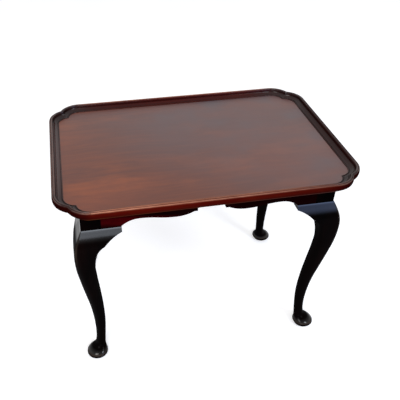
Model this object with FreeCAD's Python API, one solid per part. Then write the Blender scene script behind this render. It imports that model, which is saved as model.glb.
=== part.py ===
# Tray top tea table in solid wood: a dished tray with notched corners and an applied
# moulded rim, on a frame of shaped aprons tenoned into four cabriole legs.
# Millimetres. +X runs along the table, +Y towards its back and +Z up.
# The origin is on the floor under the middle of the tray.
import FreeCAD, Part
import math
import os

# ---------------------------------------------------------------- driving dimensions
# Tray
TRAY_LENGTH = 710.0
TRAY_WIDTH = 491.0
TABLE_HEIGHT = 534.0          # floor to the top of the rim
TRAY_DEPTH = 14.0             # top of the rim down to the tray's flat field
BOARD_THICKNESS = 15.0
BOARD_SQUARE_EDGE = 4.0       # square part of the board's edge, above its under-bevel
BOARD_BEVEL_WIDTH = 12.0
BOARD_BAND_CLEARANCE = 5.0    # the board's edge band stops this short of a shoulder's centre
CORNER_START = 80.5          # from the square corner to where the round shoulder starts
SHOULDER_RADIUS = 54.0        # round shoulders, which meet in a notch on the mitre
SHOULDER_STEPS = 8            # flats in a quarter turn of a shoulder

# Rim moulding, from the outside inwards
RIM_LIP_DROP = 2.0            # how far the lip hangs below the field, over the board's edge
RIM_LIP_THICKNESS = 3.0
FACE_SET_BACK = 1.2           # the outer face is fullest half way down
ROLL_WIDTH = 4.6              # outer roll, from the edge to the quirk
ROLL_DROP = 1.0               # crest of the outer roll below the bead's crest
QUIRK_DROP = 2.2              # depth of the quirk between the roll and the bead
BEAD_WIDTH = 4.8
STEP_LEAN = 0.8               # the inner step leans in by this much as it goes down
STEP_DROP = 7.0               # foot of the inner step below the top of the rim
FILLET_WIDTH = 1.8            # flat between the inner step and the cove
COVE_WIDTH = 10.6
COVE_SAG = 1.9                # how far the cove is hollowed under a straight line
ASTRAGAL_WIDTH = 2.4          # small bead at the foot of the cove, on the field
ASTRAGAL_HEIGHT = 2.0
ASTRAGAL_SIDE = 1.0           # upright edge of the small bead
MOULDING_STEPS = 4            # flats in each curve of the moulding

# Frame
TRAY_OVERHANG = 54.5          # tray edge beyond the posts' outer faces
POST_SIZE = 45.0
APRON_THICKNESS = 20.0
APRON_DEPTH = 60.5            # board's underside to the knee ledge
TENON_THICKNESS = 8.0
TENON_LENGTH = 24.0
TENON_BOTTOM_SHOULDER = 8.0
TENON_TOP_SHOULDER = 12.0
MORTISE_END_GAP = 1.0         # glue room past the tenon's end

# Lower edge of the aprons
EAR_COVE_RUN = 41.5           # from the knee block's ear to the top of the arch
EAR_COVE_RISE = 16.5
LOBE_DROP = 8.2               # lowest point of the drop below the top of the arch
LOBE_FROM_MIDDLE = 83.0       # long aprons: two drops, one each side of the middle
LOBE_RUN = 41.5
LOBE_RISE = 10.0
NOTCH_HALF_WIDTH = 33.0       # long aprons: arched notch between the drops
NOTCH_STEP = 8.0
NOTCH_ARCH_RISE = 10.0

# Cabriole legs. A row is: height, outer offset, inner offset, rounding of the outer
# corner, rounding of the other corners. Offsets are from the post's outer face, the
# outer one out of the table and the inner one into it. A rounding is the corner's
# radius as a share of half the section's width.
KNEE_ROWS = [                 # heights here are drops below the knee ledge
    (0.0, 1.5, 57.0, 0.05, 0.05),
    (16.5, 10.2, 56.0, 0.14, 0.05),
    (38.0, 18.8, 50.0, 0.27, 0.05),
    (47.5, 21.1, 39.5, 0.36, 0.15),
    (57.5, 22.5, 33.0, 0.45, 0.30),
    (72.5, 23.4, 28.3, 0.57, 0.45),
    (109.5, 22.4, 23.6, 0.75, 0.70),
]
SHANK_ROWS = [                # heights here are shares of the way from knee to ankle
    (0.20, 17.0, 25.4, 0.82, 0.80),
    (0.45, 8.7, 29.9, 0.90, 0.88),
    (0.72, -0.6, 33.5, 0.94, 0.94),
]
ANKLE_ROWS = [                # heights here are above the floor
    (110.0, -5.9, 34.2, 0.96, 0.96),
    (70.0, -6.4, 31.8, 0.96, 0.96),
    (42.0, -4.0, 29.6, 0.96, 0.96),
    (31.0, -0.8, 28.8, 0.96, 0.96),
    (25.0, 6.0, 29.2, 0.96, 0.96),
    (20.0, 14.8, 30.2, 0.96, 0.96),
    (15.0, 21.0, 31.6, 0.96, 0.96),
    (9.0, 23.4, 32.2, 0.96, 0.96),
    (3.0, 20.0, 28.8, 0.96, 0.96),
]
STEPS_PER_ROW = 2             # sections from one row of the pattern to the next
STEPS_PER_ROUND = 5           # flats in each rounded corner of a section
PAD_RADIUS = 22.0             # turned pad under each foot
PAD_SINK = 1.0                # the pad's spigot up into the foot

# Knee blocks, beside each post under the aprons
EAR_REACH = 46.0              # past the post
EAR_EDGE = 10.5               # upright edge at the ear's end
CUSP_REACH = 5.0              # cusp between the two coves, past the post
CUSP_DROP = 38.0              # cusp below the knee ledge
BLOCK_FOOT_DROP = 41.9        # lowest point, at the post, below the ledge
EAR_COVE_SAG = 3.0

# Corner blocks, glued round the posts inside the frame
CORNER_BLOCK_REACH = 55.0     # past the post, along each apron
CORNER_BLOCK_HEIGHT = 25.0
CORNER_BLOCK_DROP = 10.0      # below the board's underside

# Buttons that hold the tray down, and their screws
LONG_BUTTON_SPREAD = 110.0    # from the middle of a long apron
SHORT_BUTTON_SPREAD = 45.0
BUTTON_WIDTH = 25.0
BUTTON_LENGTH = 32.0
BUTTON_HEIGHT = 18.0
BUTTON_GAP = 2.0              # body clear of the apron, so the tray can move
TONGUE_HEIGHT = 7.0
TONGUE_REACH = 8.0            # into the apron
SLOT_DEPTH = 10.0
SLOT_EXTRA_WIDTH = 10.0
SLOT_PLAY = 1.0               # under the tongue

# ---------------------------------------------------------------- places worked out
FIELD_Z = TABLE_HEIGHT - TRAY_DEPTH
BOARD_BOTTOM_Z = FIELD_Z - BOARD_THICKNESS
LEDGE_Z = BOARD_BOTTOM_Z - APRON_DEPTH
FRAME_LENGTH = TRAY_LENGTH - 2 * TRAY_OVERHANG
FRAME_WIDTH = TRAY_WIDTH - 2 * TRAY_OVERHANG
TENON_SET_BACK = (APRON_THICKNESS - TENON_THICKNESS) / 2
BUTTON_BOTTOM_Z = BOARD_BOTTOM_Z - BUTTON_HEIGHT
BUTTON_START = APRON_THICKNESS + BUTTON_GAP

# A side is built as the left one, along Y with +X into the table, and turned into place.
SIDES = [
    ("left", 0, -1, 0),
    ("front", 90, 0, -1),
    ("right", 180, 1, 0),
    ("back", 270, 0, 1),
]
# A corner is built as the front left one and turned into place. The last two names are
# the sides that its X and Y arms lie along, once it is turned.
CORNERS = [
    ("front_left", 0, -1, -1, "front", "left"),
    ("front_right", 90, 1, -1, "right", "front"),
    ("back_right", 180, 1, 1, "back", "right"),
    ("back_left", 270, -1, 1, "left", "back"),
]

V = FreeCAD.Vector
UP = V(0, 0, 1)


# ---------------------------------------------------------------- shared helpers
def face_inside(start, steps):
    """Face inside a closed outline: a step is (end,) for a line, (middle, end) for an arc."""
    edges = []
    here = start
    for step in steps:
        there = step[-1]
        if len(step) == 1:
            edges.append(Part.LineSegment(here, there).toShape())
        else:
            edges.append(Part.Arc(here, step[0], there).toShape())
        here = there
    return Part.Face(Part.Wire(edges))


def flat_face(points):
    """Flat face inside a polygon."""
    return Part.Face(Part.makePolygon(points + [points[0]]))


def skin(rings):
    """Solid of flat facets from each ring of points to the next, closed at both ends."""
    faces = [flat_face(rings[0]), flat_face(rings[-1])]
    for ring, following in zip(rings, rings[1:]):
        for number in range(len(ring)):
            before = number - 1
            faces.append(flat_face([ring[before], ring[number], following[number], following[before]]))
    return Part.makeSolid(Part.makeShell(faces))


def block(low, high):
    """Box between its lowest and highest corners."""
    size = V(*high) - V(*low)
    return Part.makeBox(size.x, size.y, size.z, V(*low))


def placed(shape, angle, x, y):
    """Copy of a shape that is turned about Z and then moved."""
    copy = shape.copy()
    copy.rotate(V(0, 0, 0), UP, angle)
    copy.translate(V(x, y, 0))
    return copy


def across_diagonal(shape):
    """Mirror image of a corner piece, with its X and Y arms changed over."""
    return shape.mirror(V(0, 0, 0), V(1, -1, 0))


def level_arc_middle(level, end):
    """Point half way along the arc in the YZ plane that starts level and runs to end."""
    run = end.y - level.y
    rise = end.z - level.z
    turn = 2 * math.atan2(abs(rise), abs(run))
    radius = abs(run) / math.sin(turn)
    along = math.copysign(radius * math.sin(turn / 2), run)
    up = math.copysign(radius * (1 - math.cos(turn / 2)), rise)
    return V(level.x, level.y + along, level.z + up)


def bowed_middle(start, end, sag):
    """Middle of an arc in the XZ plane, to the left of the way from start to end."""
    chord = end - start
    left = V(-chord.z, 0, chord.x).normalize()
    return (start + end) * 0.5 + left * sag


# ---------------------------------------------------------------- tray edges
def tray_side(section, side, angle, side_x, side_y):
    """Edge section of (inset, z) points, run straight along a side between its corners."""
    side_length = TRAY_LENGTH if side in ("front", "back") else TRAY_WIDTH
    half = side_length / 2 - CORNER_START
    points = [V(inset, -half, z) for inset, z in section]
    straight = flat_face(points).extrude(V(0, 2 * half, 0))
    return placed(straight, angle, side_x * TRAY_LENGTH / 2, side_y * TRAY_WIDTH / 2)


def corner_run(section):
    """Edge section of (inset, z) points, run round two shoulders that meet on the mitre."""
    rings = []
    for step in range(SHOULDER_STEPS + 1):
        turn = math.radians(90 * step / SHOULDER_STEPS)
        ring = []
        for inset, z in section:
            radius = SHOULDER_RADIUS - inset
            x = SHOULDER_RADIUS - radius * math.cos(turn)
            y = CORNER_START - radius * math.sin(turn)
            ring.append(V(x, y, z))
        rings.append(ring)
    reach = 2 * CORNER_START
    rings.append([point + V(reach, 0, 0) for point in rings[-1]])
    mitre = [V(-reach, -reach, 0), V(2 * reach, 2 * reach, 0)]
    this_side = flat_face(mitre + [V(-reach, 2 * reach, 0)]).extrude(UP * 2 * TABLE_HEIGHT)
    half_corner = skin(rings).common(this_side)
    return half_corner.fuse(across_diagonal(half_corner)).removeSplitter()


def tray_corner(shape, angle, side_x, side_y):
    """A corner run in its place on the tray."""
    return placed(shape, angle, side_x * TRAY_LENGTH / 2, side_y * TRAY_WIDTH / 2)


# ---------------------------------------------------------------- tray board
def tray_board():
    """Flat board of the tray, bevelled under its edge."""
    edge = RIM_LIP_THICKNESS
    bevel_end = edge + BOARD_BEVEL_WIDTH
    inside = SHOULDER_RADIUS - BOARD_BAND_CLEARANCE
    edge_section = [
        (edge, FIELD_Z),
        (edge, FIELD_Z - BOARD_SQUARE_EDGE),
        (bevel_end, BOARD_BOTTOM_Z),
        (inside, BOARD_BOTTOM_Z),
        (inside, FIELD_Z),
    ]
    edge_corner = corner_run(edge_section)
    outline = []
    pieces = []
    for corner, angle, side_x, side_y, x_arm, y_arm in CORNERS:
        pieces.append(tray_corner(edge_corner, angle, side_x, side_y))
        for x, y in ((bevel_end, CORNER_START), (CORNER_START, bevel_end)):
            at = Part.Vertex(V(x, y, BOARD_BOTTOM_Z))
            outline.append(tray_corner(at, angle, side_x, side_y).Point)
    for side, angle, side_x, side_y in SIDES:
        pieces.append(tray_side(edge_section, side, angle, side_x, side_y))
    middle = flat_face(outline).extrude(UP * BOARD_THICKNESS)
    return middle.fuse(pieces).removeSplitter()


# ---------------------------------------------------------------- moulded rim
def moulding_section():
    """Rim moulding's section as (inset, z) points: a face, roll, quirk, bead, step and cove."""
    def at(inset, drop):
        return V(inset, 0, TABLE_HEIGHT - drop)

    lip_bottom = TRAY_DEPTH + RIM_LIP_DROP
    bead_end = ROLL_WIDTH + BEAD_WIDTH
    step_foot = bead_end + STEP_LEAN
    cove_start = at(step_foot + FILLET_WIDTH, STEP_DROP)
    cove_end_inset = step_foot + FILLET_WIDTH + COVE_WIDTH
    cove_end = at(cove_end_inset, TRAY_DEPTH - ASTRAGAL_SIDE)
    inner_edge = cove_end_inset + ASTRAGAL_WIDTH
    face_bottom = at(FACE_SET_BACK, lip_bottom)
    face_top = at(FACE_SET_BACK, QUIRK_DROP)
    quirk = at(ROLL_WIDTH, QUIRK_DROP)
    bead_foot = at(bead_end, QUIRK_DROP)
    astragal_end = at(inner_edge, TRAY_DEPTH - ASTRAGAL_SIDE)
    curves = [
        (face_bottom, at(0, (lip_bottom + QUIRK_DROP) / 2), face_top),
        (face_top, at((FACE_SET_BACK + ROLL_WIDTH) / 2, ROLL_DROP), quirk),
        (quirk, at((ROLL_WIDTH + bead_end) / 2, 0), bead_foot),
        (at(step_foot, STEP_DROP),),
        (cove_start, bowed_middle(cove_start, cove_end, -COVE_SAG), cove_end),
        (cove_end, at(cove_end_inset + ASTRAGAL_WIDTH / 2, TRAY_DEPTH - ASTRAGAL_HEIGHT), astragal_end),
        (at(inner_edge, TRAY_DEPTH), at(RIM_LIP_THICKNESS, TRAY_DEPTH), at(RIM_LIP_THICKNESS, lip_bottom)),
    ]
    points = []
    for curve in curves[:-1]:
        new = [curve[0]]
        if len(curve) == 3:
            new = Part.Arc(*curve).toShape().discretize(MOULDING_STEPS + 1)
        if points and points[-1].isEqual(new[0], 1e-6):
            new = new[1:]
        points.extend(new)
    points.extend(curves[-1])
    return [(point.x, point.z) for point in points]


# ---------------------------------------------------------------- aprons
def apron_half_face(half_length, two_drops):
    """Half an apron's face in the YZ plane, from its middle to the post."""
    post_y = half_length - POST_SIZE
    ear_y = post_y - EAR_REACH
    arch_z = LEDGE_Z + EAR_COVE_RISE
    lobe_z = arch_z - LOBE_DROP
    ear = V(0, ear_y, LEDGE_Z)
    arch = V(0, ear_y - EAR_COVE_RUN, arch_z)
    if two_drops:
        shelf_z = lobe_z + LOBE_RISE
        spring_z = shelf_z + NOTCH_STEP
        start = V(0, 0, spring_z + NOTCH_ARCH_RISE)
        spring = V(0, NOTCH_HALF_WIDTH, spring_z)
        shelf_end = V(0, LOBE_FROM_MIDDLE - LOBE_RUN, shelf_z)
        lobe = V(0, LOBE_FROM_MIDDLE, lobe_z)
        steps = [
            (level_arc_middle(start, spring), spring),
            (V(0, NOTCH_HALF_WIDTH, shelf_z),),
            (shelf_end,),
            (level_arc_middle(lobe, shelf_end), lobe),
        ]
    else:
        start = lobe = V(0, 0, lobe_z)
        steps = []
    turning = (lobe + arch) * 0.5
    steps += [
        (level_arc_middle(lobe, turning), turning),
        (level_arc_middle(arch, turning), arch),
        (level_arc_middle(arch, ear), ear),
        (V(0, post_y, LEDGE_Z),),
        (V(0, post_y, BOARD_BOTTOM_Z),),
        (V(0, 0, BOARD_BOTTOM_Z),),
        (start,),
    ]
    return face_inside(start, steps)


def apron(half_length, two_drops, button_spread):
    """Shaped apron with a tenon at each end and slots for the buttons' tongues."""
    board = apron_half_face(half_length, two_drops).extrude(V(APRON_THICKNESS, 0, 0))
    post_y = half_length - POST_SIZE
    tenon = block(
        (TENON_SET_BACK, post_y, LEDGE_Z + TENON_BOTTOM_SHOULDER),
        (TENON_SET_BACK + TENON_THICKNESS, post_y + TENON_LENGTH, BOARD_BOTTOM_Z - TENON_TOP_SHOULDER),
    )
    half_slot = (BUTTON_WIDTH + SLOT_EXTRA_WIDTH) / 2
    slot = block(
        (APRON_THICKNESS - SLOT_DEPTH, button_spread - half_slot, BUTTON_BOTTOM_Z - SLOT_PLAY),
        (APRON_THICKNESS, button_spread + half_slot, BUTTON_BOTTOM_Z + TONGUE_HEIGHT),
    )
    half = board.fuse(tenon).cut(slot)
    return half.fuse(half.mirror(V(0, 0, 0), V(0, 1, 0))).removeSplitter()


# ---------------------------------------------------------------- cabriole legs
def leg_section(z, outer, inner, outer_rounding, inner_rounding):
    """Rounded square section of the leg; its faces are square to the table's sides."""
    half_width = (outer + inner) / 2
    corners = [(-outer, -outer, outer_rounding), (inner, -outer, inner_rounding),
               (inner, inner, inner_rounding), (-outer, inner, inner_rounding)]
    points = []
    for number, (x, y, rounding) in enumerate(corners):
        radius = half_width * rounding
        centre = V(x - math.copysign(radius, x + outer - half_width),
                   y - math.copysign(radius, y + outer - half_width), z)
        for step in range(STEPS_PER_ROUND + 1):
            turn = math.radians(180 + 90 * (number + step / STEPS_PER_ROUND))
            points.append(centre + V(radius * math.cos(turn), radius * math.sin(turn), 0))
    return points


def leg_rows():
    """Rows of the leg's pattern from the ledge down, and rows between them on smooth curves."""
    knee_end = LEDGE_Z - KNEE_ROWS[-1][0]
    ankle_start = ANKLE_ROWS[0][0]
    pattern = [(LEDGE_Z - row[0],) + row[1:] for row in KNEE_ROWS]
    pattern += [(knee_end + row[0] * (ankle_start - knee_end),) + row[1:] for row in SHANK_ROWS]
    pattern += ANKLE_ROWS
    curve = Part.BSplineCurve()
    curve.interpolate(Points=[V(outer, inner, z) for z, outer, inner, big, small in pattern],
                      Parameters=[LEDGE_Z - row[0] for row in pattern])
    rows = []
    for upper, lower in zip(pattern, pattern[1:]):
        for step in range(STEPS_PER_ROW):
            share = step / STEPS_PER_ROW
            mixed = [a + share * (b - a) for a, b in zip(upper, lower)]
            offsets = curve.value(LEDGE_Z - mixed[0])
            rows.append((mixed[0], offsets.x, offsets.y, mixed[3], mixed[4]))
    return rows + [pattern[-1]]


def leg():
    """Cabriole leg and its post from one piece, with mortises for the two aprons."""
    rows = leg_rows()
    curved = skin([leg_section(*row) for row in rows])
    reach = 2 * POST_SIZE
    inside_post_faces = block((-reach, -reach, 0), (POST_SIZE, POST_SIZE, LEDGE_Z))
    foot_z, foot_outer, foot_inner = rows[-1][:3]
    foot_middle = (foot_inner - foot_outer) / 2
    pad = Part.makeCylinder(PAD_RADIUS, foot_z + PAD_SINK, V(foot_middle, foot_middle, 0))
    post = block((0, 0, LEDGE_Z), (POST_SIZE, POST_SIZE, BOARD_BOTTOM_Z))
    solid = curved.common(inside_post_faces).fuse([pad, post])
    mortise = block(
        (POST_SIZE - TENON_LENGTH - MORTISE_END_GAP, TENON_SET_BACK, LEDGE_Z + TENON_BOTTOM_SHOULDER),
        (POST_SIZE, TENON_SET_BACK + TENON_THICKNESS, BOARD_BOTTOM_Z - TENON_TOP_SHOULDER),
    )
    return solid.cut([mortise, across_diagonal(mortise)]).removeSplitter()


# ---------------------------------------------------------------- knee blocks
def knee_block():
    """Block beside a post that carries the knee's curve out under the apron, on its X arm."""
    lowest_z = LEDGE_Z - BLOCK_FOOT_DROP
    profile = [V(POST_SIZE, APRON_THICKNESS, LEDGE_Z)]
    for z, outer, inner, outer_rounding, inner_rounding in leg_rows():
        profile.append(V(POST_SIZE, -outer, z))
        if z <= lowest_z:
            break
    profile.append(V(POST_SIZE, APRON_THICKNESS, profile[-1].z))
    curved = flat_face(profile).extrude(V(EAR_REACH, 0, 0))
    ear_corner = V(POST_SIZE + EAR_REACH, 0, LEDGE_Z - EAR_EDGE)
    cusp = V(POST_SIZE + CUSP_REACH, 0, LEDGE_Z - CUSP_DROP)
    top = V(POST_SIZE, 0, LEDGE_Z)
    outline = face_inside(top, [
        (V(POST_SIZE + EAR_REACH, 0, LEDGE_Z),),
        (ear_corner,),
        (bowed_middle(ear_corner, cusp, -EAR_COVE_SAG), cusp),
        (V(POST_SIZE, 0, lowest_z),),
        (top,),
    ])
    outline.translate(V(0, -2 * POST_SIZE, 0))
    return curved.common(outline.extrude(V(0, 4 * POST_SIZE, 0)))


# ---------------------------------------------------------------- corner blocks
def corner_block():
    """Three-cornered block, notched round the post and glued to both aprons."""
    near = APRON_THICKNESS
    far = POST_SIZE + CORNER_BLOCK_REACH
    bottom_z = BOARD_BOTTOM_Z - CORNER_BLOCK_DROP - CORNER_BLOCK_HEIGHT
    outline = flat_face([
        V(POST_SIZE, near, bottom_z), V(far, near, bottom_z), V(near, far, bottom_z),
        V(near, POST_SIZE, bottom_z), V(POST_SIZE, POST_SIZE, bottom_z),
    ])
    return outline.extrude(UP * CORNER_BLOCK_HEIGHT)


# ---------------------------------------------------------------- buttons
def button():
    """Wooden button: its body is screwed up to the tray and its tongue hooks the apron."""
    half = BUTTON_WIDTH / 2
    body = block((BUTTON_START, -half, BUTTON_BOTTOM_Z),
                 (BUTTON_START + BUTTON_LENGTH, half, BOARD_BOTTOM_Z))
    tongue = block((APRON_THICKNESS - TONGUE_REACH, -half, BUTTON_BOTTOM_Z),
                   (BUTTON_START, half, BUTTON_BOTTOM_Z + TONGUE_HEIGHT))
    return body.fuse(tongue).removeSplitter()


# ---------------------------------------------------------------- the whole table
nodes = {"tray_board": tray_board()}
moulding = moulding_section()
long_apron = apron(FRAME_LENGTH / 2, True, LONG_BUTTON_SPREAD)
short_apron = apron(FRAME_WIDTH / 2, False, SHORT_BUTTON_SPREAD)
for side, angle, side_x, side_y in SIDES:
    is_long = side in ("front", "back")
    at_frame = (angle, side_x * FRAME_LENGTH / 2, side_y * FRAME_WIDTH / 2)
    nodes["rim_" + side] = tray_side(moulding, side, angle, side_x, side_y)
    nodes["apron_" + side] = placed(long_apron if is_long else short_apron, *at_frame)
    buttons = []
    for number, spread in enumerate((-1, 1), 1):
        moved = button()
        moved.translate(V(0, spread * (LONG_BUTTON_SPREAD if is_long else SHORT_BUTTON_SPREAD), 0))
        nodes[f"button_{side}_{number}"] = placed(moved, *at_frame)

rim_corner = corner_run(moulding)
frame_pieces = {"leg_": leg(), "corner_block_": corner_block()}
x_knee_block = knee_block()
y_knee_block = across_diagonal(x_knee_block)
for corner, angle, side_x, side_y, x_arm, y_arm in CORNERS:
    nodes["rim_corner_" + corner] = tray_corner(rim_corner, angle, side_x, side_y)
    at_frame = (angle, side_x * FRAME_LENGTH / 2, side_y * FRAME_WIDTH / 2)
    for name, shape in frame_pieces.items():
        nodes[name + corner] = placed(shape, *at_frame)
    nodes["knee_block_" + x_arm + "_" + y_arm] = placed(x_knee_block, *at_frame)
    nodes["knee_block_" + y_arm + "_" + x_arm] = placed(y_knee_block, *at_frame)

os.makedirs("parts", exist_ok=True)
for name, shape in nodes.items():
    shape.exportStep("parts/" + name + ".step")
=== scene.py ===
import math
import bmesh
import bpy
from mathutils import Matrix, Vector


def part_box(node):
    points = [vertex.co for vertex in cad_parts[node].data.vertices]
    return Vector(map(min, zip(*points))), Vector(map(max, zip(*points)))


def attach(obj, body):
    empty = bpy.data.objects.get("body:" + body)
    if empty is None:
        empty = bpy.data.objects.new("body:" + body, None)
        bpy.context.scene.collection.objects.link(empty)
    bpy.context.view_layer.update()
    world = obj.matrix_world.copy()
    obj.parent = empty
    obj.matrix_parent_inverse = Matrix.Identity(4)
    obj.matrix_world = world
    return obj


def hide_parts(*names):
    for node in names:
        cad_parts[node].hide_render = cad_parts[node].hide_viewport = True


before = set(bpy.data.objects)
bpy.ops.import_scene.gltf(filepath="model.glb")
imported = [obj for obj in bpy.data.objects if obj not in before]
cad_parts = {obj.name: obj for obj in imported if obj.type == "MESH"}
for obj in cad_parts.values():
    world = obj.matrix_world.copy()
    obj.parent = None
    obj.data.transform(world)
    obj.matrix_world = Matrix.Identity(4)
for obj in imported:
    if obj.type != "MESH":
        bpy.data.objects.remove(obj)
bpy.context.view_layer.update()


# Tray board: one wide mahogany board, planed flat inside the rim and bevelled under its
# edge. Its outline is straight sides and corners of two round shoulders that meet in a
# notch. French polished, and dulled in patches where things have stood. Its field carries a
# painted sheen, a bluish-grey painted reflection that grows towards the back and right, and
# its edge and underside carry painted shade.
CORNER_START = 0.0805
SHOULDER_RADIUS = 0.054
SHOULDER_STEPS = 14
# Each corner with its turn in degrees from the front left one, and its side in X and in Y.
CORNERS = (("front_left", 0, -1, -1), ("front_right", 90, 1, -1),
           ("back_right", 180, 1, 1), ("back_left", 270, -1, 1))
BOARD_ARRIS = 0.0005
BOARD_EDGE_HEIGHT = 0.004
BEVEL_REACH = 0.0118
BEVEL_END = 0.0125
BEVEL_ARRIS = 0.0001
TRAY_GRAIN = 2.7
TOUCHING = 1e-6
CRISP_TURN = math.radians(32)
ALONG_X = (0.0, 0.0, 0.0)
DIRT_AND_SHADE = (0.006, 0.002, 0.002)
DIRT_AND_SHADE_STRENGTH = 0.75
LEAST_CREST_LIGHTENING = 0.4
THINNEST_VEIL = 0.5
GRAIN_RELIEF = 0.0002

rim_low, rim_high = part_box("rim_front")
tray_half_width = -rim_low[1]
tray_half_length = -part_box("rim_left")[0][0]
board_low, board_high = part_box("tray_board")
board_edge = tray_half_length + board_low[0]


def shoulder_points(inset):
    """Points round a front left corner, from the left side to the front, at an inset."""
    radius = SHOULDER_RADIUS - inset
    lead = (CORNER_START - SHOULDER_RADIUS) / (math.sqrt(2) * radius)
    mitre_turn = math.pi / 4 + math.asin(lead)
    points = []
    for number in range(-SHOULDER_STEPS, SHOULDER_STEPS + 1):
        turn = mitre_turn * (1 - abs(number) / SHOULDER_STEPS)
        x = SHOULDER_RADIUS - radius * math.cos(turn)
        y = CORNER_START - radius * math.sin(turn)
        points.append((x, y) if number <= 0 else (y, x))
    return points


def tray_ring(inset, z):
    """Closed ring of points round the whole tray at an inset."""
    corner = shoulder_points(inset)
    ring = []
    for _, _, side_x, side_y in CORNERS:
        way = corner if side_x * side_y > 0 else corner[::-1]
        for x, y in way:
            ring.append((side_x * (tray_half_length - x), side_y * (tray_half_width - y), z))
    return ring


def shape_mesh(name, shape):
    """Mesh of a drawn shape, with its doubles welded and its faces turned outwards."""
    bmesh.ops.remove_doubles(shape, verts=shape.verts, dist=TOUCHING)
    bmesh.ops.dissolve_degenerate(shape, dist=TOUCHING, edges=shape.edges)
    bmesh.ops.recalc_face_normals(shape, faces=shape.faces)
    mesh = bpy.data.meshes.new(name)
    shape.to_mesh(mesh)
    shape.free()
    return mesh


def ring_mesh(name, rings):
    """Closed mesh: a skin from each ring of points to the next, and a face at both ends."""
    shape = bmesh.new()
    loops = [[shape.verts.new(point) for point in ring] for ring in rings]
    for upper, lower in zip(loops, loops[1:]):
        for number in range(len(upper)):
            before = number - 1
            shape.faces.new((upper[before], upper[number], lower[number], lower[before]))
    shape.faces.new(loops[0])
    shape.faces.new(loops[-1])
    return shape_mesh(name, shape)


def mark(mesh, label, values):
    """Give each point a value that the woods read: "board" shifts the grain; the rub value is 1
    on a worn crest, which on the rim also carries a painted highlight, and -1 in a hollow and on
    the board's edge, darkened by dirt and painted shade; "polish" is what is left of the polish;
    and the value of painted light is 1 where the rim is painted as lit and 0 in painted shade."""
    mesh.attributes.new(label, "FLOAT", "POINT").data.foreach_set("value", values)


def new_object(name, data):
    """Object in the scene from a mesh, a lamp or a camera."""
    placed = bpy.data.objects.new(name, data)
    bpy.context.scene.collection.objects.link(placed)
    return placed


def fit_piece(name, mesh, material, slot, *nodes):
    """Smooth piece with crisp edges that rides on the table and stands for CAD nodes."""
    mesh.validate()
    mesh.polygons.foreach_set("use_smooth", [True] * len(mesh.polygons))
    mesh.set_sharp_from_angle(angle=CRISP_TURN)
    mesh.materials.clear()
    mesh.materials.append(material)
    piece = new_object(name, mesh)
    if nodes:
        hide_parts(*nodes)
    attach(piece, "root")


def new_group(name, kind, inputs, outputs):
    """Empty node group with its sockets, what comes in and what goes out."""
    group = bpy.data.node_groups.new(name, kind)
    for way, sockets in (("INPUT", inputs), ("OUTPUT", outputs)):
        for label, socket in sockets:
            group.interface.new_socket(label, in_out=way, socket_type="NodeSocket" + socket)
    entry, end = group.nodes.new("NodeGroupInput"), group.nodes.new("NodeGroupOutput")
    return group, entry.outputs, end.inputs


def add(tree, kind, links=None, values=None, **settings):
    """Node with its settings, the values of its sockets and the links into them."""
    node = tree.nodes.new(kind)
    for setting, value in settings.items():
        setattr(node, setting, value)
    for socket, value in (values or {}).items():
        node.inputs[socket].default_value = value
    for socket, source in (links or {}).items():
        tree.links.new(source, node.inputs[socket])
    return node


def stretched_noise(tree, space, scale, detail, roughness, low, high):
    """Noise drawn out along the grain, spread to 0 to 1 between two of its values."""
    drawn = add(tree, "ShaderNodeMapping", {"Vector": space}, {"Scale": scale})
    noise = add(tree, "ShaderNodeTexNoise", {"Vector": drawn.outputs[0]},
                {"Scale": 1.0, "Detail": detail, "Roughness": roughness})
    spread = add(tree, "ShaderNodeMapRange", {"Value": noise.outputs[0]},
                 {"From Min": low, "From Max": high}, interpolation_type="SMOOTHSTEP")
    return spread.outputs[0]


def feed(tree, socket, source):
    """Link a socket to another one, or set it to a number, a vector or an RGB value."""
    if isinstance(source, bpy.types.NodeSocket):
        tree.links.new(source, socket)
    elif isinstance(source, tuple):
        socket.default_value = (*source, 1.0)[:len(socket.default_value)]
    else:
        socket.default_value = source


def place_group(tree, group, sources):
    """Outputs of a group that is placed in a material, with what feeds each of its sockets."""
    node = add(tree, "ShaderNodeGroup", node_tree=group)
    for label, source in sources.items():
        feed(tree, node.inputs[label], source)
    return node.outputs


def mix_colour(tree, factor, first, second, blend="MIX"):
    """Mix of two colours, each a socket or an RGB value."""
    node = add(tree, "ShaderNodeMix", data_type="RGBA", blend_type=blend)
    colour_sockets = node.inputs[6:8]
    feed(tree, node.inputs[0], factor)
    feed(tree, colour_sockets[0], first)
    feed(tree, colour_sockets[1], second)
    return node.outputs[2]


def reckon(tree, operation, first, second=0.0):
    """Math node on two sockets or numbers."""
    node = add(tree, "ShaderNodeMath", operation=operation)
    feed(tree, node.inputs[0], first)
    feed(tree, node.inputs[1], second)
    return node.outputs[0]


def at_least(tree, low, mask):
    """Mask that starts at a low value instead of 0."""
    return reckon(tree, "ADD", reckon(tree, "MULTIPLY", mask, 1.0 - low), low)


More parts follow.
